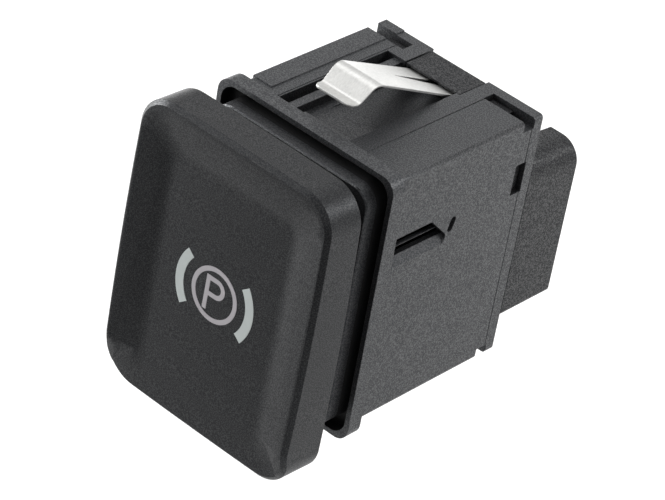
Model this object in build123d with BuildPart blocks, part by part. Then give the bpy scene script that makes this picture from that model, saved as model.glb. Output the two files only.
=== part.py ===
from build123d import *
from math import asin, atan2, cos, degrees, radians, tan
import os

# Electric parking brake push button for a fascia or console.
# The origin is the middle of the seat behind the flange. +X is right and +Z up as the
# sign stands, -Y points at the finger and +Y goes into the console. All sizes are in mm.

# Housing: sleeve, seat flange with its open channel, and the collar that guides the button
body_w = 25.7
body_h = 34.8
body_len = 26.1
body_wall = 1.4
body_r = 0.5
collar_in_x = 0.5
collar_in_z = 0.4
collar_reach = 4.3
collar_wall = 1.3
collar_r = 2.6
collar_edge = 0.2
collar_seat = 1.4
flange_out_x = 1.25
flange_out_z = 1.3
flange_d = 2.2
flange_r = 2.0
flange_rim = 0.7
flange_in_r = 2.1
flange_floor = 0.7

# Spring clips in the top and bottom of the housing
clip_x = -0.4
clip_t = 0.4
clip_root_w = 7.4
clip_crest_w = 6.4
clip_lip_w = 5.8
clip_root_in = 5.2
clip_root_z = 16.5
clip_tail = 1.1
clip_crest_y = 6.1
clip_crest_z = 23.1
clip_bend_y = 3.6
clip_bend_z = 21.1
clip_lip_y = 1.9
clip_lip_z = 21.4
clip_slot_w = 1.1
clip_slot_tip = 0.2
clip_slot_len = 4.6
clip_slot_x = -1.0
clip_slot_skew = 1.0
clip_root_r = 0.8
clip_crest_r = 1.8
clip_lip_r = 1.2
clip_corner_r = 0.9
clip_stock = 4.0
clip_room = 0.3

# Trays that the clips bend down into
tray_front = 1.5
tray_ledge = 1.1
tray_step = 0.5
tray_low = 1.9
tray_skin = 1.0
tray_w = 7.9
tray_slot_w = 1.1
tray_bar_w = 1.3
tray_bar_step = 0.45

# Raised strips along the left of the top and bottom
strip_in = -9.8
strip_from = 2.4
strip_rise = 0.15

# Moulding seams
seam_w = 0.15
seam_d = 0.1
seam_rear = 1.8
seam_left = -8.1
seam_right = 6.35
seam_from = 0.5

# Latch windows near the rear edge
window_in = 1.5
window_len = 1.9
strap_w = 2.1
side_window_z = 9.15
side_window_h = 4.3

# Guide pockets in the sides
pocket_from = 1.5
pocket_len = 6.5
pocket_lean = 47
pocket_z = 8.85
pocket_step_z = 6.95
pocket_ramp_z = 6.0
pocket_low = 4.65
pocket_depth = 1.0
pocket_step = 0.15
pocket_end_r = 0.9
peg_hole_y = 11.95
peg_hole_z = 7.05
peg_hole_w = 0.95
peg_hole_h = 2.1
peg_hole_lean = 16

# Connector base that closes the rear
fit = 0.1
base_inset = 0.9
base_d = 4.0
base_floor = 1.6
base_wall = 1.3
rear_gap = 0.1
block_w = 8.6
block_gap = 0.2
block_inset = 0.4
block_drop = 0.1
nub_w = 3.2
nub_inset = 0.2
nub_gap = 0.2
nub_rise = 0.8
nub_void = 1.8

# Connector shroud
shroud_w = 7.9
shroud_h = 23.0
shroud_z = -1.0
shroud_reach = 9.5
shroud_drop = 0.8
shroud_wall = 0.95
shroud_floor_gap = 0.4
shroud_r = 3.0
shroud_small_r = 0.8
shroud_key = 3.0

# Terminals
pin_rows = 2
pin_cols = 5
pin_t = 0.64
pin_row_pitch = 2.6
pin_col_pitch = 3.6
pin_inset = 4.6
pin_point = 0.7
pin_proud = 0.9
pin_fit = 0.03

# Circuit board and what it carries
board_t = 1.6
board_room_x = 0.3
board_room_z = 2.6
board_stand = 2.0
board_r = 0.8
led_w = 2.0
led_h = 3.2
led_t = 1.1
led_dome = 0.6
led_room = 0.1
chip_w = 5.0
chip_t = 1.3
chip_z = -10.2
resistor_w = 1.25
resistor_l = 2.0
resistor_t = 0.55
resistor_pitch = 2.4
resistor_z = 10.6

# Light chamber between the lamps and the sign
chamber_h = 11.6
chamber_wall = 0.8
chamber_front = 4.4
chamber_split = 4.1

# Switches under the button
switch_z = 9.9
switch_w = 3.0
switch_h = 6.0
switch_t = 3.5
plunger_d = 1.8
plunger_spare = 0.4
plunger_in = 1.1
plunger_fit = 0.05
touch_gap = 0.1
travel = 2.0

# Button cap: its face leans forward at the bottom, and the dish fades out there
cap_w = 30.9
cap_h = 40.5
cap_z = -0.2
cap_r = 4.6
cap_bow = 0.4
cap_end_bow = 0.15
cap_front = 14.6
cap_lean = 1.8
cap_skirt = 8.65
cap_wall = 1.5
cap_edge = 0.55
cap_top = 1.5
dish_depth = 1.1
dish_w = 19.6
dish_top = 14.2
dish_r = 1.6
dish_rim = 0.25
dish_blend = 7.0
dish_fade_from = 14.3
dish_fade_to = 18.9
dish_fade_r = 5.0

# Sign in the face: a P in a ring between two brackets
sign_x = -0.25
sign_z = -0.65
sign_depth = 0.8
sign_proud = 0.02
ring_r = 3.65
ring_t = 0.62
letter_h = 4.7
letter_w = 3.1
letter_t = 0.62
bracket_r = 6.3
bracket_t = 1.3
bracket_angle = 38

# Button carrier that slides in the collar
carrier_plate_t = 1.2
carrier_plate_fit = 0.1
carrier_room_x = 0.85
carrier_room_z = 1.0
carrier_wall = 1.2
carrier_r = 1.0
carrier_to = -1.0
slide_fit = 0.06
rib_w = 1.6
rib_spread_x = 6.0
rib_spread_z = 9.5
post_h = 3.0
hook_len = 1.0
hook_fit = 0.15
hook_rest = 0.05
light_gap = 0.5

# Derived sizes
body_in_w = body_w - 2 * body_wall
body_in_h = body_h - 2 * body_wall
collar_w = body_w - 2 * collar_in_x
collar_h = body_h - 2 * collar_in_z
flange_w = body_w + 2 * flange_out_x
flange_h = body_h + 2 * flange_out_z
collar_in_w = collar_w - 2 * collar_wall
collar_in_h = collar_h - 2 * collar_wall
top = body_h / 2
side = body_w / 2
tray_floor = top - tray_low
tray_left = clip_x + tray_w / 2 - tray_w
slots_left = tray_left - tray_bar_w - 2 * tray_slot_w
clip_root_y = body_len - clip_root_in
clip_slot_from = clip_root_y - clip_slot_len
block_from = clip_root_y
block_to = body_len - block_inset
window_y = body_len - window_in - window_len
base_to = body_len - base_inset
base_from = base_to - base_d
board_back = base_from - board_stand
board_front = board_back - board_t
board_w = body_in_w - 2 * board_room_x
board_h = body_in_h - 2 * board_room_z
shroud_to = body_len + shroud_reach
shroud_floor = body_len + shroud_floor_gap
shroud_right = side
shroud_x = shroud_right - shroud_w / 2
pin_to = shroud_to - pin_inset
chamber_w = 2 * (chamber_split + chamber_wall / 2 + led_w + 2 * led_room + chamber_wall)
led_side = (chamber_split + chamber_w / 2 - chamber_wall / 2) / 2
cap_face = cap_front - dish_depth
plate_front = cap_face - cap_top
cap_in_w = cap_w - 2 * (cap_bow + cap_wall)
cap_in_h = cap_h - 2 * (cap_end_bow + cap_wall)
carrier_w = collar_in_w - 2 * carrier_room_x
carrier_h = collar_in_h - 2 * carrier_room_z
post_x = carrier_w / 2 - carrier_wall / 2
switch_x = post_x
switch_front = board_front - switch_t
plunger_out = travel + plunger_spare
plunger_tip = switch_front - plunger_out

parts = []


def at_y(y):
    """Plane across the part at this y: local x is +X, local y is +Z, normal -Y."""
    return Plane.XZ.offset(-y)


def face_plane(depth):
    """Plane along the leaning face of the cap, this far in front of the seat at z 0."""
    return Plane(at_y(-depth).location * Location((0, 0, 0), (-cap_lean, 0, 0)))


# Guide pockets: a slanting end, rounded below, a stepped floor and a ramp along the lower edge
pockets = {}
pocket_end = pocket_from + pocket_len
pocket_tip = pocket_end + (pocket_z - pocket_low) * tan(radians(pocket_lean))
for hand in (1, -1):
    with BuildPart() as pocket:
        with BuildSketch(Plane.YZ.offset(hand * (side - pocket_depth))) as mouth:
            with BuildLine():
                Polyline(
                    (pocket_from, pocket_z),
                    (pocket_end, pocket_z),
                    (pocket_tip, pocket_low),
                    (pocket_from, pocket_low),
                    close=True,
                )
            make_face()
            fillet(mouth.vertices().sort_by(Axis.X)[-1], pocket_end_r)
        extrude(amount=hand * (pocket_depth + 0.5))
        with BuildSketch(at_y(pocket_tip)):
            with BuildLine():
                Polyline(
                    (hand * (side + 0.5), pocket_z),
                    (hand * (side - pocket_depth), pocket_z),
                    (hand * (side - pocket_depth), pocket_step_z),
                    (hand * (side - pocket_depth + pocket_step), pocket_step_z),
                    (hand * (side - pocket_depth + pocket_step), pocket_ramp_z),
                    (hand * side, pocket_low),
                    (hand * (side + 0.5), pocket_low),
                    close=True,
                )
            make_face()
        extrude(amount=pocket_tip - pocket_from, mode=Mode.INTERSECT)
    pockets[hand] = pocket.part

# Housing
with BuildPart() as housing:
    with BuildSketch(at_y(body_len)):
        RectangleRounded(body_w, body_h, body_r)
    extrude(amount=body_len)
    with BuildSketch(at_y(0)):
        RectangleRounded(flange_w, flange_h, flange_r)
    extrude(amount=flange_d)
    with BuildSketch(at_y(-flange_floor)):
        RectangleRounded(flange_w - 2 * flange_rim, flange_h - 2 * flange_rim, flange_in_r)
    extrude(amount=flange_d, mode=Mode.SUBTRACT)
    with BuildSketch(at_y(0)):
        RectangleRounded(collar_w, collar_h, collar_r)
    extrude(amount=collar_reach)
    collar_edges = housing.edges().group_by(Axis.Y)[0]
    chamfer(collar_edges, collar_edge)
    # bores: the collar's guides the button, the wider one behind holds board and base
    with BuildSketch(at_y(collar_seat)):
        RectangleRounded(collar_in_w, collar_in_h, collar_r / 2)
    extrude(amount=collar_seat + collar_reach, mode=Mode.SUBTRACT)
    with BuildSketch(at_y(body_len)):
        RectangleRounded(body_in_w, body_in_h, body_r)
    extrude(amount=body_len - collar_seat, mode=Mode.SUBTRACT)
    for way in (1, -1):
        with BuildSketch(Plane.XY.offset(way * (top - body_wall / 2))):
            with Locations(((strip_in - side) / 2, (strip_from + body_len) / 2)):
                Rectangle(strip_in + side, body_len - strip_from)
        extrude(amount=way * (body_wall / 2 + strip_rise))
        # thicker wall under the clip, then the tray, its two slots and the bar between
        pad_left = slots_left - tray_skin
        pad_right = tray_left + tray_w + tray_skin
        with BuildSketch(Plane.XY.offset(way * (tray_floor - tray_skin))):
            with Locations(((pad_left + pad_right) / 2, (collar_seat + block_from) / 2)):
                Rectangle(pad_right - pad_left, block_from - collar_seat)
        extrude(amount=way * (tray_low - body_wall + tray_skin + 0.01))
        with BuildSketch(Plane.YZ.offset(tray_left)):
            with BuildLine():
                Polyline(
                    (tray_front, way * (top + 1)),
                    (tray_front, way * (top - tray_step)),
                    (tray_front + tray_ledge, way * (top - tray_step)),
                    (tray_front + 2 * tray_ledge, way * (top - 2.6 * tray_step)),
                    (clip_root_y / 2, way * tray_floor),
                    (block_from + 0.01, way * tray_floor),
                    (block_from + 0.01, way * (top + 1)),
                    close=True,
                )
            make_face()
        extrude(amount=tray_w, mode=Mode.SUBTRACT)
        for n in range(2):
            slot_x = slots_left + n * (tray_slot_w + tray_bar_w) + tray_slot_w / 2
            with BuildSketch(Plane.XY.offset(way * (tray_floor + 0.3))):
                with Locations((slot_x, (tray_front + block_from) / 2)):
                    Rectangle(tray_slot_w, block_from - tray_front)
            extrude(amount=way * tray_low, mode=Mode.SUBTRACT)
        with BuildSketch(Plane.XY.offset(way * (top - tray_bar_step))):
            with Locations(
                (slots_left + tray_slot_w + tray_bar_w / 2, (tray_front + block_from) / 2)
            ):
                Rectangle(tray_bar_w + 0.02, block_from - tray_front)
        extrude(amount=way * 2, mode=Mode.SUBTRACT)
        # fine seams along the top and bottom
        with BuildSketch(Plane.XY.offset(way * (top - seam_d))):
            for seam_x in (seam_left, seam_right):
                with Locations((seam_x, (seam_from + window_y) / 2)):
                    Rectangle(seam_w, window_y - seam_from)
        extrude(amount=way, mode=Mode.SUBTRACT)
        # notch for the connector base's block, open to the rear
        with BuildSketch(Plane.XY.offset(way * (tray_floor - tray_skin - 0.1))):
            with Locations((clip_x, (block_from + body_len + 1) / 2 - block_gap / 2)):
                Rectangle(block_w + 2 * block_gap, body_len + 1 - block_from + block_gap)
        extrude(amount=way * 6, mode=Mode.SUBTRACT)
        # latch windows either side of the block, wrapping onto the sides
        for hand in (1, -1):
            inner = hand * (block_w / 2 + block_gap) + clip_x
            outer = hand * (side + 1)
            start = inner + hand * strap_w
            with BuildSketch(Plane.XY.offset(way * (top - body_wall))):
                with Locations(((start + outer) / 2, window_y + window_len / 2)):
                    Rectangle(abs(outer - start), window_len)
            extrude(amount=way * 3, mode=Mode.SUBTRACT)
    for hand in (1, -1):
        # latch window, guide pocket and peg hole in each side
        with BuildSketch(Plane.YZ.offset(hand * (side - body_wall - 0.5))):
            with Locations((window_y + window_len / 2, side_window_z)):
                Rectangle(window_len, side_window_h)
            with Locations(Location((peg_hole_y, peg_hole_z), -peg_hole_lean)):
                SlotOverall(peg_hole_h, peg_hole_w, rotation=90)
        extrude(amount=hand * 3, mode=Mode.SUBTRACT)
        add(pockets[hand], mode=Mode.SUBTRACT)
        # moulding seam near the rear
        with BuildSketch(Plane.YZ.offset(hand * (side - seam_d))):
            with Locations((body_len - seam_rear, 0)):
                Rectangle(seam_w, body_h)
        extrude(amount=hand, mode=Mode.SUBTRACT)
housing.part.label = "housing"
parts.append(housing)

def shroud_outline(y, inset):
    """Outline of the connector shroud across y, with its keyed corner."""
    left = shroud_x - shroud_w / 2 + inset
    right = shroud_right - inset
    low = shroud_z - shroud_h / 2 + inset
    drop = shroud_drop * (y - body_len) / shroud_reach
    high = shroud_z + shroud_h / 2 - drop - inset
    with BuildSketch(at_y(y)) as outline:
        with BuildLine():
            Polyline(
                (left, low),
                (right, low),
                (right, high),
                (left + shroud_key, high),
                (left, high - shroud_key),
                close=True,
            )
        make_face()
        fillet(outline.vertices().sort_by(Axis.X)[-2:].sort_by(Axis.Y)[-1], shroud_r - inset)
        fillet(outline.vertices().group_by(Axis.Y)[0], shroud_small_r - inset / 2)
    return outline.sketch


# Connector base
base_w = body_in_w - 2 * fit
base_h = body_in_h - 2 * fit
with BuildPart() as connector_base:
    with BuildSketch(at_y(base_to)):
        RectangleRounded(base_w, base_h, body_r)
    extrude(amount=base_to - base_from)
    with BuildSketch(at_y(base_from)):
        RectangleRounded(board_w, board_h, board_r)
    extrude(amount=base_from - board_back)
    with BuildSketch(at_y(base_to - base_floor)):
        RectangleRounded(board_w - 2 * base_wall, board_h - 2 * base_wall, board_r)
    extrude(amount=base_to - base_floor - board_back, mode=Mode.SUBTRACT)
    for way in (1, -1):
        # block that closes the housing's notch and holds the clip's root
        block_low = tray_floor - tray_skin
        with BuildSketch(at_y(block_to)):
            with Locations((clip_x, way * (block_low + top - block_drop) / 2)):
                Rectangle(block_w, top - block_drop - block_low)
        extrude(amount=block_to - block_from)
        root_room = clip_t / 2 + clip_room
        with BuildSketch(at_y(block_from + clip_tail + clip_room)):
            with Locations((clip_x, way * clip_root_z)):
                Rectangle(clip_root_w + 2 * clip_room, 2 * root_room)
        extrude(amount=clip_tail + clip_room + 1, mode=Mode.SUBTRACT)
        # latch nubs, each with a lead-in slope
        for hand in (1, -1):
            nub_start = clip_x + hand * (block_w / 2 + block_gap + strap_w + nub_inset)
            with BuildSketch(Plane.YZ.offset(nub_start)):
                with BuildLine():
                    Polyline(
                        (window_y + nub_gap, way * (base_h / 2 - 0.2)),
                        (window_y + nub_gap + 0.5, way * (base_h / 2 + nub_rise)),
                        (window_y + window_len - nub_gap, way * (base_h / 2 + nub_rise)),
                        (window_y + window_len - nub_gap, way * (base_h / 2 - 0.2)),
                        close=True,
                    )
                make_face()
            extrude(amount=hand * nub_w)
            # open corner beside the nub
            void_from = nub_start + hand * nub_w
            void_to = hand * (base_w / 2 + 1)
            with BuildSketch(Plane.XY.offset(way * (base_h / 2 - nub_void))):
                with Locations(((void_from + void_to) / 2, window_y + window_len / 2)):
                    Rectangle(abs(void_to - void_from), window_len)
            extrude(amount=way * (nub_void + 1), mode=Mode.SUBTRACT)
    for hand in (1, -1):
        with BuildSketch(Plane.XY.offset(side_window_z - side_window_h / 2 + nub_gap)):
            with BuildLine():
                Polyline(
                    (hand * (base_w / 2 - 0.2), window_y + nub_gap),
                    (hand * (base_w / 2 + nub_rise), window_y + nub_gap + 0.5),
                    (hand * (base_w / 2 + nub_rise), window_y + window_len - nub_gap),
                    (hand * (base_w / 2 - 0.2), window_y + window_len - nub_gap),
                    close=True,
                )
            make_face()
        extrude(amount=side_window_h - 2 * nub_gap)
    # connector shroud with its keyed corner
    left = shroud_x - shroud_w / 2
    loft([shroud_outline(body_len + rear_gap, 0), shroud_outline(shroud_to, 0)])
    neck_right = base_w / 2
    with BuildSketch(at_y(body_len + rear_gap)):
        with Locations(((left + neck_right) / 2, shroud_z)):
            RectangleRounded(neck_right - left, shroud_h - 2 * shroud_key, shroud_small_r)
    extrude(amount=body_len + rear_gap - base_to + base_floor / 2)
    loft(
        [shroud_outline(shroud_floor, shroud_wall), shroud_outline(shroud_to, shroud_wall)],
        mode=Mode.SUBTRACT,
    )
    # pin holes
    with BuildSketch(at_y(shroud_to)):
        with Locations((shroud_x, shroud_z)):
            with GridLocations(pin_row_pitch, pin_col_pitch, pin_rows, pin_cols):
                Rectangle(pin_t + 2 * pin_fit, pin_t + 2 * pin_fit)
    extrude(amount=shroud_to - board_back, mode=Mode.SUBTRACT)
connector_base.part.label = "connector_base"
parts.append(connector_base)

# Terminals
pins = []
for c in range(pin_cols):
    for r in range(pin_rows):
        px = shroud_x + (r - (pin_rows - 1) / 2) * pin_row_pitch
        pz = shroud_z + (c - (pin_cols - 1) / 2) * pin_col_pitch
        with BuildPart() as pin:
            with BuildSketch(at_y(pin_to)):
                with Locations((px, pz)):
                    Rectangle(pin_t, pin_t)
            extrude(amount=pin_to - board_front + pin_proud)
            chamfer(pin.edges().group_by(Axis.Y)[-1], pin_point, pin_t * 0.3)
        pin.part.label = f"terminal_{c * pin_rows + r + 1}"
        pins.append(pin)
parts.extend(pins)

# Circuit board
with BuildPart() as circuit_board:
    with BuildSketch(at_y(board_back)):
        RectangleRounded(board_w, board_h, board_r)
        with Locations((shroud_x, shroud_z)):
            with GridLocations(pin_row_pitch, pin_col_pitch, pin_rows, pin_cols):
                Rectangle(pin_t + 2 * pin_fit, pin_t + 2 * pin_fit, mode=Mode.SUBTRACT)
    extrude(amount=board_t)
circuit_board.part.label = "circuit_board"
parts.append(circuit_board)

led_places = {"led_left": -led_side, "led_indicator": 0, "led_right": led_side}
for name, led_shift in led_places.items():
    lx = sign_x + led_shift
    with BuildPart() as led:
        with BuildSketch(at_y(board_front)):
            with Locations((lx, sign_z)):
                Rectangle(led_w, led_h)
        extrude(amount=led_t)
        with BuildSketch(at_y(board_front - led_t)):
            with Locations((lx, sign_z)):
                Rectangle(led_w - 0.4, led_h - 0.8)
        extrude(amount=led_dome, taper=25)
    led.part.label = name
    parts.append(led)

with BuildPart() as controller:
    with BuildSketch(at_y(board_front)):
        with Locations((sign_x, chip_z)):
            Rectangle(chip_w, chip_w * 0.8)
    extrude(amount=chip_t)
    chamfer(controller.edges().group_by(Axis.Y)[0], 0.2)
controller.part.label = "controller"
parts.append(controller)

for n in range(4):
    with BuildPart() as resistor:
        with BuildSketch(at_y(board_front)):
            with Locations((sign_x + (n - 1.5) * resistor_pitch, resistor_z)):
                Rectangle(resistor_w, resistor_l)
        extrude(amount=resistor_t)
    resistor.part.label = f"resistor_{n + 1}"
    parts.append(resistor)

# Light chamber
with BuildPart() as light_chamber:
    with BuildSketch(at_y(board_front)):
        with Locations((sign_x, sign_z)):
            RectangleRounded(chamber_w, chamber_h, 1.0)
    extrude(amount=board_front - chamber_front)
    with BuildSketch(at_y(board_front)):
        with Locations((sign_x, sign_z)):
            RectangleRounded(2 * chamber_split - chamber_wall, chamber_h - 2 * chamber_wall, 0.4)
        for hand in (1, -1):
            edge_in = chamber_split + chamber_wall / 2
            edge_out = chamber_w / 2 - chamber_wall
            with Locations((sign_x + hand * (edge_in + edge_out) / 2, sign_z)):
                Rectangle(edge_out - edge_in, chamber_h - 2 * chamber_wall)
    extrude(amount=board_front - chamber_front, mode=Mode.SUBTRACT)
light_chamber.part.label = "light_chamber"
parts.append(light_chamber)

# Switches and plungers
for name, hand in (("left", -1), ("right", 1)):
    with BuildPart() as switch_body:
        with BuildSketch(at_y(board_front)):
            with Locations((hand * switch_x, hand * switch_z)):
                Rectangle(switch_w, switch_h)
        extrude(amount=switch_t)
        chamfer(switch_body.edges().group_by(Axis.Y)[0], 0.25)
        with BuildSketch(at_y(switch_front)):
            with Locations((hand * switch_x, hand * switch_z)):
                Circle(plunger_d / 2 + plunger_fit)
        extrude(amount=-(plunger_in + travel + touch_gap), mode=Mode.SUBTRACT)
    switch_body.part.label = f"switch_body_{name}"
    parts.append(switch_body)
    with BuildPart() as plunger:
        with BuildSketch(at_y(switch_front + plunger_in)):
            with Locations((hand * switch_x, hand * switch_z)):
                Circle(plunger_d / 2)
        extrude(amount=plunger_in + plunger_out)
        chamfer(plunger.edges().group_by(Axis.Y)[0], 0.2)
    plunger.part.label = f"plunger_{name}"
    parts.append(plunger)


# Button cap
# sign outlines, on the floor of their recesses
sign_plane = face_plane(cap_face - sign_depth)
with BuildSketch(sign_plane) as ring_shape:
    with Locations((sign_x, sign_z)):
        Circle(ring_r)
        Circle(ring_r - ring_t, mode=Mode.SUBTRACT)
letter_left = sign_x - letter_w / 2
letter_low = sign_z - letter_h / 2 - 0.1
bowl_r = letter_h * 0.29
with BuildSketch(sign_plane) as letter_shape:
    with Locations((letter_left, letter_low)):
        Rectangle(letter_t, letter_h, align=(Align.MIN, Align.MIN))
    with Locations((letter_left, letter_low + letter_h - 2 * bowl_r)):
        Rectangle(letter_w - bowl_r, 2 * bowl_r, align=(Align.MIN, Align.MIN))
    with Locations((letter_left + letter_w - bowl_r, letter_low + letter_h - bowl_r)):
        Circle(bowl_r)
    with Locations((letter_left + letter_t, letter_low + letter_h - 2 * bowl_r + letter_t)):
        Rectangle(
            letter_w - bowl_r - letter_t,
            2 * (bowl_r - letter_t),
            align=(Align.MIN, Align.MIN),
            mode=Mode.SUBTRACT,
        )
    with Locations((letter_left + letter_w - bowl_r, letter_low + letter_h - bowl_r)):
        Circle(bowl_r - letter_t, mode=Mode.SUBTRACT)
brackets = {}
for name, turn in (("left", 180), ("right", 0)):
    with BuildSketch(sign_plane) as bracket_shape:
        with BuildLine(Location((sign_x, sign_z))):
            outer = CenterArc((0, 0), bracket_r, turn - bracket_angle, 2 * bracket_angle)
            inner = CenterArc(
                (0, 0), bracket_r - bracket_t, turn - bracket_angle, 2 * bracket_angle
            )
            Line(outer @ 0, inner @ 0)
            Line(outer @ 1, inner @ 1)
        make_face()
    brackets[name] = bracket_shape
sign_shapes = {
    "light_ring": ring_shape,
    "light_letter": letter_shape,
    "light_bracket_left": brackets["left"],
    "light_bracket_right": brackets["right"],
}

rim_x = cap_w / 2 - cap_bow / 2 - cap_edge - dish_rim
rim_top = cap_z + cap_h / 2 - cap_end_bow - cap_edge - dish_rim
lean = tan(radians(cap_lean))
flank_angle = atan2(dish_depth, rim_x - dish_w / 2)
blend_run = dish_blend * tan(flank_angle / 2)
fade_angle = atan2(dish_depth, dish_fade_to - dish_fade_from)
fade_end = dish_fade_to + dish_fade_r * tan(fade_angle / 2) + 0.1


def dish_outline(depth, half, high, r):
    """Outline of the dish at this depth, rounded above and square below."""
    with BuildSketch(face_plane(depth)) as outline:
        with Locations((0, -dish_fade_from)):
            Rectangle(2 * half, high + dish_fade_from, align=(Align.CENTER, Align.MIN))
        fillet(outline.vertices().group_by(Axis.Y)[-1], r)
    return outline.sketch


def across_face(down):
    """Plane square to the leaning face, this far down it: local y points forward."""
    face = face_plane(cap_face)
    return Plane(origin=face.origin - face.y_dir * down, x_dir=face.x_dir, z_dir=-face.y_dir)


def faded_section(down):
    """Section of the dish with its flanks run out to the level of the floor."""
    with BuildSketch(across_face(down)) as section:
        with BuildLine():
            Polyline(
                (-rim_x, 0),
                (-dish_w / 2 - blend_run * cos(flank_angle), 0),
                (-dish_w / 2 + blend_run, 0),
                (dish_w / 2 - blend_run, 0),
                (dish_w / 2 + blend_run * cos(flank_angle), 0),
                (rim_x, 0),
                (rim_x, 2 * dish_depth),
                (-rim_x, 2 * dish_depth),
                close=True,
            )
        make_face()
    return section.sketch


# what the dish loses below, where its flanks fade out
with BuildPart() as dish_fade:
    with BuildSketch(across_face(dish_fade_from)) as full_section:
        with BuildLine():
            FilletPolyline(
                (-rim_x, dish_depth),
                (-dish_w / 2, 0),
                (dish_w / 2, 0),
                (rim_x, dish_depth),
                radius=dish_blend,
            )
            Polyline(
                (rim_x, dish_depth),
                (rim_x, 2 * dish_depth),
                (-rim_x, 2 * dish_depth),
                (-rim_x, dish_depth),
            )
        make_face()
    loft(
        [full_section.sketch, faded_section(dish_fade_to), faded_section(fade_end)], ruled=True
    )

with BuildPart() as button_cap:
    with BuildSketch(face_plane((cap_skirt + cap_front) / 2)) as cap_outline:
        corner_x, corner_z = cap_w / 2 - cap_bow, cap_h / 2 - cap_end_bow
        side_r = (corner_z**2 + cap_bow**2) / (2 * cap_bow)
        end_r = (corner_x**2 + cap_end_bow**2) / (2 * cap_end_bow)
        side_turn = degrees(asin(corner_z / side_r))
        end_turn = degrees(asin(corner_x / end_r))
        with BuildLine(Location((0, cap_z))):
            for turn in (0, 180):
                middle = Vector(cap_w / 2 - side_r, 0).rotate(Axis.Z, turn)
                CenterArc(middle, side_r, turn - side_turn, side_turn)
                CenterArc(middle, side_r, turn, side_turn)
                middle = Vector(cap_h / 2 - end_r, 0).rotate(Axis.Z, turn + 90)
                CenterArc(middle, end_r, turn + 90 - end_turn, end_turn)
                CenterArc(middle, end_r, turn + 90, end_turn)
        make_face()
        corners = [v for v in cap_outline.vertices() if abs(v.X) > 1 and abs(v.Y) > cap_h / 4]
        fillet(corners, cap_r)
    extrude(amount=cap_front, both=True)
    # leaning front, which runs back to the level of the dish at the bottom
    with BuildSketch(Plane.YZ.offset(-cap_w)):
        with BuildLine():
            FilletPolyline(
                (-cap_front + cap_h * lean, cap_h),
                (-cap_front - dish_fade_from * lean, -dish_fade_from),
                (-cap_face - dish_fade_to * lean, -dish_fade_to),
                (-cap_face - cap_h * lean, -cap_h),
                radius=dish_fade_r,
            )
            Polyline(
                (-cap_face - cap_h * lean, -cap_h),
                (-cap_skirt, -cap_h),
                (-cap_skirt, cap_h),
                (-cap_front + cap_h * lean, cap_h),
            )
        make_face()
    extrude(amount=2 * cap_w, mode=Mode.INTERSECT)
    front_faces = button_cap.faces().filter_by(lambda f: f.normal_at().Y < -0.9)
    across = front_faces.edges().filter_by(Axis.X)
    chamfer([e for e in front_faces.edges() if e not in across], cap_edge)
    # dish: flat floor with flanks left, right and above, each blended into it
    loft(
        [
            dish_outline(cap_face, dish_w / 2, dish_top, dish_r),
            dish_outline(cap_front, rim_x, rim_top, cap_r - cap_edge - dish_rim),
        ],
        ruled=True,
        mode=Mode.SUBTRACT,
    )
    floor = button_cap.faces().filter_by(face_plane(cap_face)).sort_by(SortBy.AREA)[-1]
    fillet(floor.edges().sort_by(Axis.Z)[1:], dish_blend)
    add(dish_fade.part, mode=Mode.SUBTRACT)
    # hollow under the face
    with BuildSketch(at_y(-cap_skirt)):
        with Locations((0, cap_z)):
            RectangleRounded(cap_in_w, cap_in_h, cap_r - cap_wall)
    extrude(amount=plate_front - cap_skirt, mode=Mode.SUBTRACT)
    # recesses for the sign
    for shape in sign_shapes.values():
        extrude(shape.sketch, amount=sign_depth + 1, mode=Mode.SUBTRACT)
button_cap.part.label = "button_cap"
parts.append(button_cap)

for name, shape in sign_shapes.items():
    with BuildPart() as inlay:
        extrude(shape.sketch, amount=sign_depth + sign_proud)
    inlay.part.label = name
    parts.append(inlay)

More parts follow.
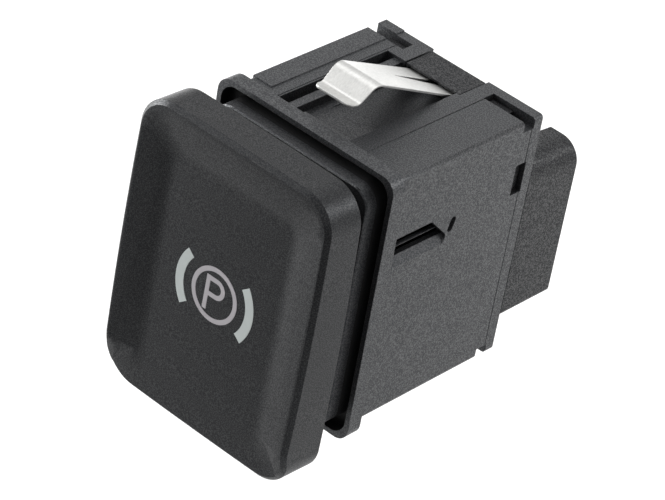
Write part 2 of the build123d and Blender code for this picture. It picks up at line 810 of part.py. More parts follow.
# Button carrier
plate_back = plate_front - carrier_plate_t
with BuildPart() as button_carrier:
    with BuildSketch(at_y(-plate_back)):
        with Locations((0, cap_z)):
            RectangleRounded(
                cap_in_w - 2 * carrier_plate_fit,
                cap_in_h - 2 * carrier_plate_fit,
                cap_r - cap_wall - carrier_plate_fit,
            )
        with Locations((sign_x, sign_z)):
            RectangleRounded(chamber_w - 2 * chamber_wall, chamber_h - 2 * chamber_wall, 0.4,
                             mode=Mode.SUBTRACT)
    extrude(amount=carrier_plate_t)
    # sliding tube with its guide ribs
    with BuildSketch(at_y(carrier_to)):
        RectangleRounded(carrier_w, carrier_h, carrier_r)
        for hand in (1, -1):
            rib_end = collar_in_w / 2 - slide_fit
            with Locations((hand * (carrier_w / 2 - 0.5 + rib_end) / 2, rib_spread_z),
                           (hand * (carrier_w / 2 - 0.5 + rib_end) / 2, -rib_spread_z)):
                Rectangle(rib_end - carrier_w / 2 + 0.5, rib_w)
            rib_end = collar_in_h / 2 - slide_fit
            with Locations((rib_spread_x, hand * (carrier_h / 2 - 0.5 + rib_end) / 2),
                           (-rib_spread_x, hand * (carrier_h / 2 - 0.5 + rib_end) / 2)):
                Rectangle(rib_w, rib_end - carrier_h / 2 + 0.5)
        RectangleRounded(carrier_w - 2 * carrier_wall, carrier_h - 2 * carrier_wall,
                         carrier_r / 2, mode=Mode.SUBTRACT)
    extrude(amount=plate_back + carrier_to)
    # light tube behind the sign
    with BuildSketch(at_y(chamber_front - travel - light_gap)):
        with Locations((sign_x, sign_z)):
            RectangleRounded(chamber_w, chamber_h, 1.0)
            RectangleRounded(chamber_w - 2 * chamber_wall, chamber_h - 2 * chamber_wall, 0.4,
                             mode=Mode.SUBTRACT)
    extrude(amount=chamber_front - travel - light_gap + plate_back)
    # posts that press the switches, each with the hook that stops the button at rest
    for hand in (1, -1):
        with BuildSketch(at_y(plunger_tip - touch_gap)):
            with Locations((hand * post_x, hand * switch_z)):
                Rectangle(carrier_wall, post_h)
        extrude(amount=plunger_tip - touch_gap - carrier_to + 1)
        hook_out = body_in_w / 2 - hook_fit
        with BuildSketch(Plane.XY.offset(hand * switch_z - post_h / 2)):
            with BuildLine():
                Polyline(
                    (hand * (carrier_w / 2 - 0.4), collar_seat + hook_rest),
                    (hand * hook_out, collar_seat + hook_rest),
                    (hand * (carrier_w / 2), collar_seat + hook_rest + hook_len),
                    (hand * (carrier_w / 2 - 0.4), collar_seat + hook_rest + hook_len),
                    close=True,
                )
            make_face()
        extrude(amount=post_h)
button_carrier.part.label = "button_carrier"
parts.append(button_carrier)

# Spring clips
for name, way in (("top", 1), ("bottom", -1)):
    with BuildPart() as spring_clip:
        with BuildSketch(Plane.YZ.offset(clip_x - clip_root_w / 2)):
            with BuildLine() as clip_line:
                FilletPolyline(
                    (clip_root_y + clip_tail, way * clip_root_z),
                    (clip_root_y, way * clip_root_z),
                    (clip_crest_y, way * clip_crest_z),
                    (clip_bend_y, way * clip_bend_z),
                    (clip_lip_y, way * clip_lip_z),
                    radius=[clip_root_r, clip_crest_r, clip_lip_r],
                )
            trace(line_width=clip_t)
        extrude(amount=clip_root_w)
        # narrower towards the lip, and split into two legs at the root
        with BuildSketch(Plane.XY.offset(way * (clip_root_z - 2))) as clip_plan:
            with BuildLine():
                Polyline(
                    (clip_x - clip_lip_w / 2, clip_lip_y - clip_t / 4),
                    (clip_x - clip_crest_w / 2, clip_crest_y),
                    (clip_x - clip_root_w / 2, clip_root_y),
                    (clip_x - clip_root_w / 2, clip_root_y + clip_tail + 1),
                    (clip_x + clip_root_w / 2, clip_root_y + clip_tail + 1),
                    (clip_x + clip_root_w / 2, clip_root_y),
                    (clip_x + clip_crest_w / 2, clip_crest_y),
                    (clip_x + clip_lip_w / 2, clip_lip_y - clip_t / 4),
                    close=True,
                )
            make_face()
            fillet(clip_plan.vertices().group_by(Axis.Y)[0], clip_corner_r)
            with BuildLine():
                slot_x = clip_x + clip_slot_x
                tip_x = slot_x - clip_slot_skew
                Polyline(
                    (tip_x - clip_slot_tip / 2, clip_slot_from),
                    (slot_x - clip_slot_w / 2, clip_root_y + clip_tail + 1),
                    (slot_x + clip_slot_w / 2, clip_root_y + clip_tail + 1),
                    (tip_x + clip_slot_tip / 2, clip_slot_from),
                    close=True,
                )
            make_face(mode=Mode.SUBTRACT)
        extrude(amount=way * (clip_crest_z - clip_root_z + clip_stock), mode=Mode.INTERSECT)
    spring_clip.part.label = f"spring_clip_{name}"
    parts.append(spring_clip)

os.makedirs("parts", exist_ok=True)
for part in parts:
    export_step(part.part, f"parts/{part.part.label}.step")
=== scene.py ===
import math

import bmesh
import bpy
from mathutils import Matrix, Vector


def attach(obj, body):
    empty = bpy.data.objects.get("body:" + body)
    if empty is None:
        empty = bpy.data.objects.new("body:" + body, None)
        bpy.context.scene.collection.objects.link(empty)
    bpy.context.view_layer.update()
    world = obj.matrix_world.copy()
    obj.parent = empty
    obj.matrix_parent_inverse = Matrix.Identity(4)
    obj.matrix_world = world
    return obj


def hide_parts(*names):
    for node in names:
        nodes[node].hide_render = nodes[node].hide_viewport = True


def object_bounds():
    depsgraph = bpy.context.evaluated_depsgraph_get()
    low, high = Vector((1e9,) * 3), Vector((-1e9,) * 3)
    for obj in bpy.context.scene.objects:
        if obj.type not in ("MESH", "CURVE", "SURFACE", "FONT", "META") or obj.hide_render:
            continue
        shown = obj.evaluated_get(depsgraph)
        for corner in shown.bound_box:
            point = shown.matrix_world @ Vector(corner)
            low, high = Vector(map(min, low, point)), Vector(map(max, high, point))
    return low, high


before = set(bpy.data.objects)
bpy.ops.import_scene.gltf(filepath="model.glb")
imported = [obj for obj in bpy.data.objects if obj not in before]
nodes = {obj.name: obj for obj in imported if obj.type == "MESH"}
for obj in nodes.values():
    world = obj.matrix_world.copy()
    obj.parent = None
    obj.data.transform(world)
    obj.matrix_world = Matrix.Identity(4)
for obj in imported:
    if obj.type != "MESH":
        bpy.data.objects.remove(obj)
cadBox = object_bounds()
mm = 0.001
nearby = 0.01 * mm  # closer than this is the same place

print("frame loaded:", len(nodes), "nodes")


# camera at the photograph's angle: its place and its three directions, lens and film in mm
camera = {
    "place": (197.428 * mm, -252.242 * mm, 214.473 * mm),
    "right": (0.721818, 0.675555, 0.150350),
    "up": (-0.473603, 0.323745, 0.819078),
    "back": (0.504657, -0.662432, 0.553629),
    "lens": 175.62,
    "film": 36.0,
    "seesFrom": 0.01,
    "seesTo": 10,
}


def makeCamera():
    data = bpy.data.cameras.new("photoCamera")
    data.lens = camera["lens"]
    data.sensor_width = camera["film"]
    data.clip_start = camera["seesFrom"]
    data.clip_end = camera["seesTo"]
    obj = bpy.data.objects.new("photoCamera", data)
    bpy.context.scene.collection.objects.link(obj)
    turn = Matrix((camera["right"], camera["up"], camera["back"])).transposed()
    obj.matrix_world = Matrix.Translation(camera["place"]) @ turn.to_4x4()
    bpy.context.scene.camera = obj


# studio: a white room that shows in gloss, a pale floor and three soft panels
studio = {
    "floorSize": 6,
    "floorDrop": 24 * mm,
    "floorColour": (0.80, 0.80, 0.80, 1),
    "floorGlow": 0.45,
    "roomLight": 0.40,
    "roomShown": 1.10,
    # the floor as gloss shows it, painted light that glows only in reflections: its least brightness,
    # and the painted pools of light that add to it, each with its axis, where it is dark, where it is
    # bright and how bright
    "floorBase": 0.23,
    "floorPools": (
        ("X", -20 * mm, -120 * mm, 1.00),
        ("Y", -85 * mm, -35 * mm, 0.75),
        ("Y", 50 * mm, 100 * mm, 0.25),
    ),
    "panels": {
        # name: place, size across and up, power, all in metres and watts
        "panelLeft": ((-0.60, -0.20, 0.05), 0.40, 0.60, 7.8),
        "panelAbove": ((-0.10, 0.15, 0.60), 0.50, 0.50, 1.0),
        "panelBehind": ((0.44, 0.53, 0.40), 0.25, 0.25, 1.6),
    },
}


def makePanel(name, place, across, up, power):
    light = bpy.data.lights.new(name, "AREA")
    light.shape = "RECTANGLE"
    light.size = across
    light.size_y = up
    light.energy = power
    obj = bpy.data.objects.new(name, light)
    bpy.context.scene.collection.objects.link(obj)
    obj.location = place
    obj.rotation_mode = "QUATERNION"
    obj.rotation_quaternion = (-Vector(place)).to_track_quat("-Z", "Y")


def makeFloor():
    level = cadBox[0].z - studio["floorDrop"]
    bpy.ops.object.select_all(action="DESELECT")
    bpy.ops.mesh.primitive_plane_add(size=studio["floorSize"], location=(0, 0, level))
    floor = bpy.context.object
    floor.name = "floor"
    floor.data.materials.append(floorMaterial())


def seenDirectly(tree):
    # 1 for the camera and for gloss and glass, 0 for light that falls on the object
    path = tree.nodes.new("ShaderNodeLightPath")
    shown = path.outputs["Is Camera Ray"]
    for ray in ("Is Glossy Ray", "Is Transmission Ray"):
        either = tree.nodes.new("ShaderNodeMath")
        either.operation = "MAXIMUM"
        tree.links.new(shown, either.inputs[0])
        tree.links.new(path.outputs[ray], either.inputs[1])
        shown = either.outputs[0]
    return shown


def floorPools(tree):
    # painted light: the floor's glow in gloss, brighter in pools by where it is
    where = tree.nodes.new("ShaderNodeTexCoord")
    split = tree.nodes.new("ShaderNodeSeparateXYZ")
    tree.links.new(where.outputs["Object"], split.inputs["Vector"])
    total = None
    for axis, darkFrom, brightFrom, level in studio["floorPools"]:
        pool = tree.nodes.new("ShaderNodeMapRange")
        pool.interpolation_type = "SMOOTHSTEP"
        pool.inputs["From Min"].default_value = darkFrom
        pool.inputs["From Max"].default_value = brightFrom
        pool.inputs["To Max"].default_value = level
        tree.links.new(split.outputs[axis], pool.inputs["Value"])
        both = tree.nodes.new("ShaderNodeMath")
        both.inputs[0].default_value = studio["floorBase"]
        if total:
            tree.links.new(total, both.inputs[0])
        tree.links.new(pool.outputs["Result"], both.inputs[1])
        total = both.outputs[0]
    return total


def floorMaterial():
    material = bpy.data.materials.new("paleFloor")
    material.use_nodes = True
    tree = material.node_tree
    tree.nodes.clear()
    out = tree.nodes.new("ShaderNodeOutputMaterial")
    path = tree.nodes.new("ShaderNodeLightPath")
    matt = tree.nodes.new("ShaderNodeBsdfDiffuse")
    matt.inputs["Color"].default_value = studio["floorColour"]
    glow = tree.nodes.new("ShaderNodeEmission")
    strength = tree.nodes.new("ShaderNodeMath")
    strength.operation = "MULTIPLY"
    strength.inputs[1].default_value = studio["floorGlow"]
    tree.links.new(path.outputs["Is Camera Ray"], strength.inputs[0])
    tree.links.new(strength.outputs[0], glow.inputs["Strength"])
    lit = tree.nodes.new("ShaderNodeAddShader")
    tree.links.new(matt.outputs[0], lit.inputs[0])
    tree.links.new(glow.outputs[0], lit.inputs[1])
    # painted light: gloss sees the floor as a glow in pools, not as the lit floor
    pools = tree.nodes.new("ShaderNodeEmission")
    tree.links.new(floorPools(tree), pools.inputs["Strength"])
    choice = tree.nodes.new("ShaderNodeMixShader")
    tree.links.new(path.outputs["Is Glossy Ray"], choice.inputs["Fac"])
    tree.links.new(lit.outputs[0], choice.inputs[1])
    tree.links.new(pools.outputs[0], choice.inputs[2])
    tree.links.new(choice.outputs[0], out.inputs["Surface"])
    return material


def makeWorld():
    world = bpy.data.worlds.new("studioWorld")
    bpy.context.scene.world = world
    world.use_nodes = True
    tree = world.node_tree
    tree.nodes.clear()
    out = tree.nodes.new("ShaderNodeOutputWorld")
    light = tree.nodes.new("ShaderNodeBackground")
    strength = tree.nodes.new("ShaderNodeMapRange")
    strength.inputs["To Min"].default_value = studio["roomLight"]
    strength.inputs["To Max"].default_value = studio["roomShown"]
    tree.links.new(seenDirectly(tree), strength.inputs["Value"])
    tree.links.new(strength.outputs["Result"], light.inputs["Strength"])
    tree.links.new(light.outputs[0], out.inputs["Surface"])


bpy.context.scene.view_settings.view_transform = "Standard"
makeCamera()
makeWorld()
makeFloor()
for name, values in studio["panels"].items():
    makePanel(name, *values)
print("studio ready")


# grain: what every plastic and metal shares, a fine texture and a slow mottling
grain = {
    "fineDetail": 3,
    "fineRoughness": 0.6,
    "slowDetail": 4,
}


def makeGrainGroup():
    tree = bpy.data.node_groups.new("mouldGrain", "ShaderNodeTree")
    for name in ("Grain Size", "Mottle Size"):
        tree.interface.new_socket(name, in_out="INPUT", socket_type="NodeSocketFloat")
    for name in ("Height", "Mottle"):
        tree.interface.new_socket(name, in_out="OUTPUT", socket_type="NodeSocketFloat")
    start = tree.nodes.new("NodeGroupInput")
    end = tree.nodes.new("NodeGroupOutput")
    where = tree.nodes.new("ShaderNodeTexCoord")
    fine = tree.nodes.new("ShaderNodeTexNoise")
    fine.inputs["Detail"].default_value = grain["fineDetail"]
    fine.inputs["Roughness"].default_value = grain["fineRoughness"]
    slow = tree.nodes.new("ShaderNodeTexNoise")
    slow.inputs["Detail"].default_value = grain["slowDetail"]
    tree.links.new(where.outputs["Object"], fine.inputs["Vector"])
    tree.links.new(where.outputs["Object"], slow.inputs["Vector"])
    tree.links.new(start.outputs["Grain Size"], fine.inputs["Scale"])
    tree.links.new(start.outputs["Mottle Size"], slow.inputs["Scale"])
    tree.links.new(fine.outputs["Fac"], end.inputs["Height"])
    tree.links.new(slow.outputs["Fac"], end.inputs["Mottle"])
    return tree


mouldGrain = makeGrainGroup()


def startMaterial(name):
    material = bpy.data.materials.new(name)
    material.use_nodes = True
    return material, material.node_tree, material.node_tree.nodes["Principled BSDF"]


def addGrain(tree, shader, mottlePerMetre, rough, spread):
    # the shared grain, whose mottling makes the roughness wander
    texture = tree.nodes.new("ShaderNodeGroup")
    texture.node_tree = mouldGrain
    texture.inputs["Mottle Size"].default_value = mottlePerMetre
    gloss = tree.nodes.new("ShaderNodeMapRange")
    gloss.inputs["To Min"].default_value = rough - spread
    gloss.inputs["To Max"].default_value = rough + spread
    tree.links.new(texture.outputs["Mottle"], gloss.inputs["Value"])
    tree.links.new(gloss.outputs["Result"], shader.inputs["Roughness"])
    return texture


def addColour(tree, shader, pattern, low, high):
    # base colour that a pattern moves between two colours
    colour = tree.nodes.new("ShaderNodeMix")
    colour.data_type = "RGBA"
    colour.inputs["A"].default_value = (*low, 1)
    colour.inputs["B"].default_value = (*high, 1)
    tree.links.new(pattern, colour.inputs["Factor"])
    tree.links.new(colour.outputs["Result"], shader.inputs["Base Color"])


# what all plastics share
plastic = {
    "mottlePerMetre": 260,
    "roughSpread": 0.06,
    "edgeSamples": 6,
    # the grain's tips shine a little more than its hollows
    "tipsFrom": 0.46,
    "tipsTo": 0.58,
    "tipsRough": 0.4,
}

# each plastic: the two colours of its mottling, its roughness, its grain, how round its edges
# look, how strongly and in what tint it shines, and how much more the grain's tips do
blueGrey = (0.88, 0.93, 1.0)
plastics = {
    "housingPlastic": {
        "dark": (0.012, 0.012, 0.013), "light": (0.015, 0.015, 0.016), "rough": 0.48,
        "grainPerMetre": 5800, "grainDepth": 0.05 * mm, "edgeRadius": 0.12 * mm,
        "specular": 0.46, "tint": blueGrey, "sparkle": 1.0,
    },
    "connectorPlastic": {
        "dark": (0.011, 0.011, 0.012), "light": (0.014, 0.014, 0.015), "rough": 0.52,
        "grainPerMetre": 5800, "grainDepth": 0.05 * mm, "edgeRadius": 0.12 * mm,
        "specular": 0.17, "tint": blueGrey, "sparkle": 0.9,
    },
    "capPlastic": {
        "dark": (0.0055, 0.0055, 0.006), "light": (0.007, 0.0068, 0.0072), "rough": 0.42,
        "grainPerMetre": 7000, "grainDepth": 0.01 * mm, "edgeRadius": 0.12 * mm,
        "specular": 0.24, "tint": blueGrey, "sparkle": 0.6,
    },
    # painted shade: a darker, duller copy of the housing's plastic for the channel and bore behind the
    # button, where shade falls
    "paintedShadePlastic": {
        "dark": (0.006, 0.006, 0.0065), "light": (0.008, 0.008, 0.0085), "rough": 0.60,
        "grainPerMetre": 4200, "grainDepth": 0.05 * mm, "edgeRadius": 0.10 * mm,
        "specular": 0.25,
    },
    "whitePlastic": {
        "dark": (0.72, 0.72, 0.70), "light": (0.78, 0.78, 0.76), "rough": 0.45,
        "grainPerMetre": 2600, "grainDepth": 0.01 * mm, "edgeRadius": 0.10 * mm,
    },
    "boardLaminate": {
        "dark": (0.02, 0.13, 0.06), "light": (0.03, 0.16, 0.08), "rough": 0.30,
        "grainPerMetre": 1500, "grainDepth": 0.01 * mm, "edgeRadius": 0.05 * mm,
    },
    "signPale": {
        "dark": (0.38, 0.36, 0.38), "light": (0.42, 0.40, 0.42), "rough": 0.50,
        "grainPerMetre": 3200, "grainDepth": 0.004 * mm, "edgeRadius": 0.02 * mm,
    },
    "signBright": {
        "dark": (0.46, 0.50, 0.49), "light": (0.50, 0.54, 0.53), "rough": 0.50,
        "grainPerMetre": 3200, "grainDepth": 0.004 * mm, "edgeRadius": 0.02 * mm,
    },
}


def plasticMaterial(name, dark, light, rough, grainPerMetre, grainDepth, edgeRadius,
                    specular=0.5, tint=(1, 1, 1), sparkle=0):
    material, tree, shader = startMaterial(name)
    texture = addGrain(tree, shader, plastic["mottlePerMetre"], rough, plastic["roughSpread"])
    texture.inputs["Grain Size"].default_value = grainPerMetre
    addColour(tree, shader, texture.outputs["Mottle"], dark, light)
    edge = tree.nodes.new("ShaderNodeBevel")
    edge.samples = plastic["edgeSamples"]
    edge.inputs["Radius"].default_value = edgeRadius
    bump = tree.nodes.new("ShaderNodeBump")
    bump.inputs["Strength"].default_value = 1
    bump.inputs["Distance"].default_value = grainDepth
    tree.links.new(texture.outputs["Height"], bump.inputs["Height"])
    tree.links.new(edge.outputs["Normal"], bump.inputs["Normal"])
    tree.links.new(bump.outputs["Normal"], shader.inputs["Normal"])
    shader.inputs["Specular IOR Level"].default_value = specular
    shader.inputs["Specular Tint"].default_value = (*tint, 1)
    if sparkle:
        tips = tree.nodes.new("ShaderNodeMapRange")
        tips.inputs["From Min"].default_value = plastic["tipsFrom"]
        tips.inputs["From Max"].default_value = plastic["tipsTo"]
        tips.inputs["To Max"].default_value = sparkle
        tree.links.new(texture.outputs["Height"], tips.inputs["Value"])
        tree.links.new(tips.outputs["Result"], shader.inputs["Coat Weight"])
        shader.inputs["Coat Roughness"].default_value = plastic["tipsRough"]
    return material


# what both metals share: short streaks of the rolled sheet, and how far they change its colour
metal = {
    "mottlePerMetre": 400,
    "roughSpread": 0.08,
    "streaksPerMetre": (5200, 1400, 3600),
    "streakDetail": 3,
    "streakDepth": 0.01 * mm,
    "darkest": 0.78,
    "brightest": 1.2,
}

metals = {
    "clipSteel": {"colour": (0.63, 0.63, 0.615), "rough": 0.36},
    "pinTin": {"colour": (0.80, 0.79, 0.74), "rough": 0.28},
}


def metalMaterial(name, colour, rough):
    material, tree, shader = startMaterial(name)
    shader.inputs["Metallic"].default_value = 1
    addGrain(tree, shader, metal["mottlePerMetre"], rough, metal["roughSpread"])
    where = tree.nodes.new("ShaderNodeTexCoord")
    stretch = tree.nodes.new("ShaderNodeMapping")
    stretch.inputs["Scale"].default_value = metal["streaksPerMetre"]
    streaks = tree.nodes.new("ShaderNodeTexNoise")
    streaks.inputs["Scale"].default_value = 1
    streaks.inputs["Detail"].default_value = metal["streakDetail"]
    tree.links.new(where.outputs["Object"], stretch.inputs["Vector"])
    tree.links.new(stretch.outputs["Vector"], streaks.inputs["Vector"])
    darkest = [level * metal["darkest"] for level in colour]
    brightest = [min(level * metal["brightest"], 1) for level in colour]
    addColour(tree, shader, streaks.outputs["Fac"], darkest, brightest)
    bump = tree.nodes.new("ShaderNodeBump")
    bump.inputs["Distance"].default_value = metal["streakDepth"]
    tree.links.new(streaks.outputs["Fac"], bump.inputs["Height"])
    tree.links.new(bump.outputs["Normal"], shader.inputs["Normal"])
    return material


finishes = {name: plasticMaterial(name, **values) for name, values in plastics.items()}
finishes |= {name: metalMaterial(name, **values) for name, values in metals.items()}

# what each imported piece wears, apart from those that are made again below
worn = {
    "connectorPlastic": ["connector_base"],
    "capPlastic": ["button_carrier", "switch_body_left", "switch_body_right", "controller",
                   "resistor_1", "resistor_2", "resistor_3", "resistor_4", "light_chamber"],
    "whitePlastic": ["plunger_left", "plunger_right", "led_left", "led_right", "led_indicator"],
    "boardLaminate": ["circuit_board"],
    "signPale": ["light_ring", "light_letter"],
    "signBright": ["light_bracket_left", "light_bracket_right"],
    "pinTin": [name for name in nodes if name.startswith("terminal")],
}


def wear(piece, *names):
    piece.data.materials.clear()
    for name in names:
        piece.data.materials.append(finishes[name])


for finish, names in worn.items():
    for name in names:
        wear(nodes[name], finish)
print("finishes ready")


def pickPiece(piece):
    bpy.ops.object.select_all(action="DESELECT")
    piece.select_set(True)
    bpy.context.view_layer.objects.active = piece


def startEdit(piece):
    pickPiece(piece)
    bpy.ops.object.mode_set(mode="EDIT")


def pickPoints(test):
    bpy.ops.mesh.select_mode(type="VERT")
    mesh = bmesh.from_edit_mesh(bpy.context.object.data)
    for point in mesh.verts:
        point.select_set(test(point.co))
    mesh.select_flush_mode()
    bmesh.update_edit_mesh(bpy.context.object.data)


def pickFaces(test):
    bpy.ops.mesh.select_mode(type="FACE")
    mesh = bmesh.from_edit_mesh(bpy.context.object.data)
    for face in mesh.faces:
        face.select_set(test(face.calc_center_median()))
    mesh.select_flush_mode()
    bmesh.update_edit_mesh(bpy.context.object.data)


def addModifier(piece, kind, **settings):
    modifier = piece.modifiers.new(kind, kind)
    for setting, value in settings.items():
        setattr(modifier, setting, value)
    bpy.context.view_layer.objects.active = piece
    bpy.ops.object.modifier_apply(modifier=modifier.name)


def smoothPiece(piece, angle):
    pickPiece(piece)
    bpy.ops.object.shade_smooth_by_angle(angle=math.radians(angle))
    addModifier(piece, "WEIGHTED_NORMAL", keep_sharp=True, weight=100)


# spring clips: bent sheet, wider at the root, where a wedge splits it into two legs
clip = {
    "middle": -0.4 * mm,
    "sheet": 0.32 * mm,
    # tail, root, crest, bend and lip: how far along the switch, how high
    "line": (
        (21.7 * mm, 16.65 * mm),
        (20.9 * mm, 16.65 * mm),
        (6.1 * mm, 23.1 * mm),
        (3.6 * mm, 21.1 * mm),
        (1.9 * mm, 21.4 * mm),
    ),
    "bends": (0.8 * mm, 1.8 * mm, 1.2 * mm),
    "bendSteps": 10,
    # lip, crest and root: how far along, half its width there
    "outline": ((1.8 * mm, 2.9 * mm), (6.1 * mm, 3.2 * mm), (20.9 * mm, 3.7 * mm)),
    # the wedge's ends along the clip, and its sides at the first and at the second
    "wedge": (13.9 * mm, 20.9 * mm),
    "wedgeLeft": (-1.0 * mm, -0.95 * mm),
    "wedgeRight": (-0.85 * mm, 0.45 * mm),
    "lipRadius": 0.9 * mm,
    "lipSteps": 6,
    "edgeRadius": 0.06 * mm,
    "edgeSteps": 2,
    "edgeAngle": 50,
    "smoothAngle": 40,
    "spare": 1 * mm,
    "mergeWithin": 0.005 * mm,
}


def cutAlong(line, awayFrom=0):
    # cuts the picked faces along a line seen from above, and clears one side of it if asked to
    (fromX, fromY), (toX, toY) = line
    sideways = Vector((toY - fromY, fromX - toX, 0)) * (awayFrom or 1)
    bpy.ops.mesh.bisect(plane_co=(fromX, fromY, 0), plane_no=sideways.normalized(),
                        clear_outer=awayFrom != 0)


def beside(place, line):
    # how far a place lies to the right of a line seen from above
    (fromX, fromY), (toX, toY) = line
    return place.x - fromX - (toX - fromX) * (place.y - fromY) / (toY - fromY)


def bendSheet(points):
    # carries the picked edge along the line and round its bends
    at = points[0]
    for before, corner, after, radius in zip(points, points[1:], points[2:], clip["bends"]):
        inward = (corner - before).normalized()
        onward = (after - corner).normalized()
        turn = math.atan2(inward.y * onward.z - inward.z * onward.y, inward.dot(onward))
        reach = radius * math.tan(abs(turn) / 2)
        bendStart = corner - inward * reach
        bpy.ops.mesh.extrude_region_move(TRANSFORM_OT_translate={"value": bendStart - at})
        centre = bendStart + Vector((0, -inward.z, inward.y)) * math.copysign(radius, turn)
        centre.x = clip["middle"]
        # spin counts its angle the other way round
        bpy.ops.mesh.spin(steps=clip["bendSteps"], angle=-turn, center=centre, axis=(1, 0, 0))
        at = corner + onward * reach
    bpy.ops.mesh.extrude_region_move(TRANSFORM_OT_translate={"value": points[-1] - at})


def trimSheet(tail):
    # cuts the tail to length and narrows the sheet towards the lip
    bpy.ops.mesh.select_all(action="SELECT")
    bpy.ops.mesh.bisect(plane_co=tail, plane_no=(0, 1, 0), clear_outer=True)
    for hand in (-1, 1):
        side = [(clip["middle"] + hand * half, along) for along, half in clip["outline"]]
        for line in zip(side, side[1:]):
            bpy.ops.mesh.select_all(action="SELECT")
            cutAlong(line, hand)


def cutWedge():
    tip, root = clip["wedge"]
    left, right = [((atTip, tip), (atRoot, root))
                   for atTip, atRoot in (clip["wedgeLeft"], clip["wedgeRight"])]
    bpy.ops.mesh.select_all(action="SELECT")
    bpy.ops.mesh.bisect(plane_co=(0, tip, 0), plane_no=(0, 1, 0))
    for line in (left, right):
        pickFaces(lambda centre: centre.y > tip)
        cutAlong(line)
    pickFaces(lambda centre: centre.y > tip and beside(centre, left) > 0 > beside(centre, right))
    bpy.ops.mesh.delete(type="FACE")


def makeClip(name, way, body, node):
    points = [Vector((0, along, way * up)) for along, up in clip["line"]]
    tail, lip = points[0], points[-1]
    width = 2 * clip["outline"][-1][1] + clip["spare"]
    bpy.ops.object.select_all(action="DESELECT")
    bpy.ops.mesh.primitive_plane_add(size=width, location=(clip["middle"], tail.y + width / 2, tail.z))
    bpy.ops.object.transform_apply(location=True)
    piece = bpy.context.object
    piece.name = name
    startEdit(piece)
    pickPoints(lambda point: point.y < tail.y + nearby)
    bendSheet(points)
    trimSheet(tail)
    cutWedge()
    pickPoints(lambda point: point.y < lip.y + nearby)
    bpy.ops.mesh.bevel(offset=clip["lipRadius"], segments=clip["lipSteps"], affect="VERTICES")
    bpy.ops.mesh.select_all(action="SELECT")
    bpy.ops.mesh.remove_doubles(threshold=clip["mergeWithin"])
    bpy.ops.mesh.normals_make_consistent(inside=False)
    bpy.ops.object.mode_set(mode="OBJECT")
    addModifier(piece, "SOLIDIFY", thickness=clip["sheet"], offset=0)
    addModifier(piece, "BEVEL", width=clip["edgeRadius"], segments=clip["edgeSteps"],
                limit_method="ANGLE", angle_limit=math.radians(clip["edgeAngle"]))
    smoothPiece(piece, clip["smoothAngle"])
    wear(piece, "clipSteel")
    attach(piece, body)
    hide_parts(node)


makeClip("clipSheetTop", 1, "clip_top", "spring_clip_top")
makeClip("clipSheetBottom", -1, "clip_bottom", "spring_clip_bottom")
print("spring clips ready")


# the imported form's triangles as one skin: points this close are one, faces this flat are one
skin = {"mergeWithin": 0.0005 * mm, "flatWithin": 0.3}


def mergedCopy(node, name):
    piece = bpy.data.objects.new(name, nodes[node].data.copy())
    bpy.context.scene.collection.objects.link(piece)
    startEdit(piece)
    bpy.ops.mesh.select_all(action="SELECT")
    bpy.ops.mesh.remove_doubles(threshold=skin["mergeWithin"])
    bpy.ops.mesh.dissolve_limited(angle_limit=math.radians(skin["flatWithin"]))
    bpy.ops.object.mode_set(mode="OBJECT")
    return piece


# housing: one smooth skin, with the two slots that open each guide pocket to the inside
housing = {"smoothAngle": 25}

pocket = {
    # the cutter's outer side, just out of the pocket's floor, and how far in it goes
    "outerSide": 12.22 * mm,
    "depth": 1.32 * mm,
    "slotsFrom": 1.6 * mm,
    # each slot's top and low edge: how high it is and where it ends
    "slots": (
        ((8.8 * mm, 8.05 * mm), (6.98 * mm, 10.0 * mm)),
        ((6.86 * mm, 10.15 * mm), (5.78 * mm, 11.3 * mm)),
    ),
}

# the channel behind the button and the collar's bore, whose faces are painted dark as shade: their
# bounds, the flange's front rim, which is left out as what faces back is, and how deep the light
# reaches
recess = {
    "channelX": 13.43 * mm,
    "channelZ": 18.03 * mm,
    "rimDepth": 2.2 * mm,
    "rimWithin": 0.05 * mm,
    "rimFacing": -0.9,
    "backFacing": 0.7,
    "litFrom": 2.6 * mm,
}


def cutSlot(piece, topEdge, lowEdge, hand):
    bpy.ops.object.select_all(action="DESELECT")
    bpy.ops.mesh.primitive_cube_add(size=1 * mm, location=(0, 0, 0))
    cutter = bpy.context.object
    startEdit(cutter)
    mesh = bmesh.from_edit_mesh(cutter.data)
    for point in mesh.verts:
        up, end = topEdge if point.co.z > 0 else lowEdge
        along = end if point.co.y > 0 else pocket["slotsFrom"]
        inner = point.co.x * hand < 0
        across = pocket["outerSide"] - pocket["depth"] if inner else pocket["outerSide"]
        point.co = Vector((hand * across, along, up))
    bmesh.update_edit_mesh(cutter.data)
    bpy.ops.mesh.select_all(action="SELECT")
    bpy.ops.mesh.normals_make_consistent(inside=False)
    bpy.ops.object.mode_set(mode="OBJECT")
    addModifier(piece, "BOOLEAN", operation="DIFFERENCE", solver="EXACT", object=cutter)
    bpy.data.objects.remove(cutter)


def inPaintedShade(face):
    place, facing = face.center, face.normal.y
    inBounds = abs(place.x) < recess["channelX"] and abs(place.z) < recess["channelZ"]
    unlit = -recess["litFrom"] < place.y < recess["rimWithin"]
    rim = abs(abs(place.y) - recess["rimDepth"]) < recess["rimWithin"] and facing < recess["rimFacing"]
    return inBounds and unlit and not rim and facing < recess["backFacing"]


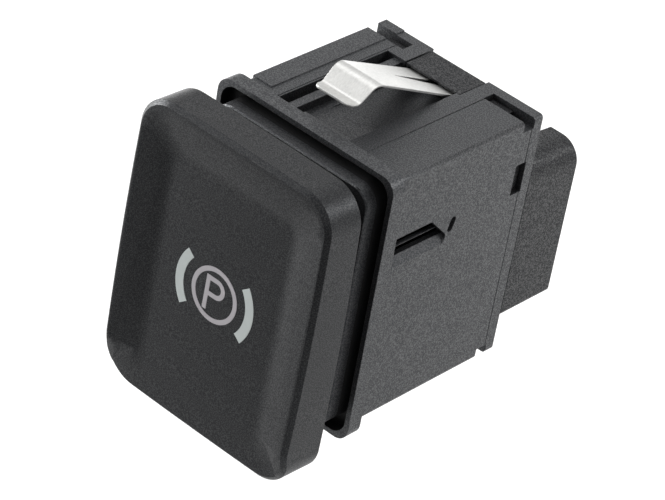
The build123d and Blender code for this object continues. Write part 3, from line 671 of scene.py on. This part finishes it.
housingSkin = mergedCopy("housing", "housingSkin")
for hand in (1, -1):
    for topEdge, lowEdge in pocket["slots"]:
        cutSlot(housingSkin, topEdge, lowEdge, hand)
# the collar's walls parted where the light no longer reaches them
startEdit(housingSkin)
bpy.ops.mesh.select_all(action="SELECT")
bpy.ops.mesh.bisect(plane_co=(0, -recess["litFrom"], 0), plane_no=(0, 1, 0))
bpy.ops.object.mode_set(mode="OBJECT")
smoothPiece(housingSkin, housing["smoothAngle"])
wear(housingSkin, "housingPlastic", "paintedShadePlastic")
# faces in the channel and bore, behind where the light reaches, wear the darker plastic as painted
# shade
for face in housingSkin.data.polygons:
    face.material_index = 1 if inPaintedShade(face) else 0
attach(housingSkin, "housing")
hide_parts("housing")
print("housing ready")


# cap: one smooth skin, its outer edge rounded
cap = {
    # the outer edge is beyond these to the sides, and in front of this
    "outerX": 13.0 * mm,
    "outerZ": 17.6 * mm,
    "frontOf": -4.5 * mm,
    # how sharply it turns, in radians
    "turnFrom": 0.5,
    "turnTo": 1.1,
    "edgeRadius": 0.32 * mm,
    "edgeSteps": 3,
    "smoothAngle": 28,
}


def isOuterEdge(edge):
    if len(edge.link_faces) != 2:
        return False
    middle = (edge.verts[0].co + edge.verts[1].co) / 2
    outside = abs(middle.x) > cap["outerX"] or abs(middle.z) > cap["outerZ"]
    turns = cap["turnFrom"] < edge.calc_face_angle() < cap["turnTo"]
    return outside and turns and middle.y < cap["frontOf"]


capSkin = mergedCopy("button_cap", "capSkin")
startEdit(capSkin)
bpy.ops.mesh.select_mode(type="EDGE")
bpy.ops.mesh.select_all(action="DESELECT")
capMesh = bmesh.from_edit_mesh(capSkin.data)
outerEdges = [edge for edge in capMesh.edges if isOuterEdge(edge)]
for edge in outerEdges:
    edge.select_set(True)
print("cap edges rounded:", len(outerEdges))
bmesh.update_edit_mesh(capSkin.data)
bpy.ops.mesh.bevel(offset=cap["edgeRadius"], segments=cap["edgeSteps"], affect="EDGES",
                   clamp_overlap=True)
bpy.ops.object.mode_set(mode="OBJECT")
smoothPiece(capSkin, cap["smoothAngle"])
wear(capSkin, "capPlastic")
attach(capSkin, "button")
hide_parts("button_cap")
print("cap ready")
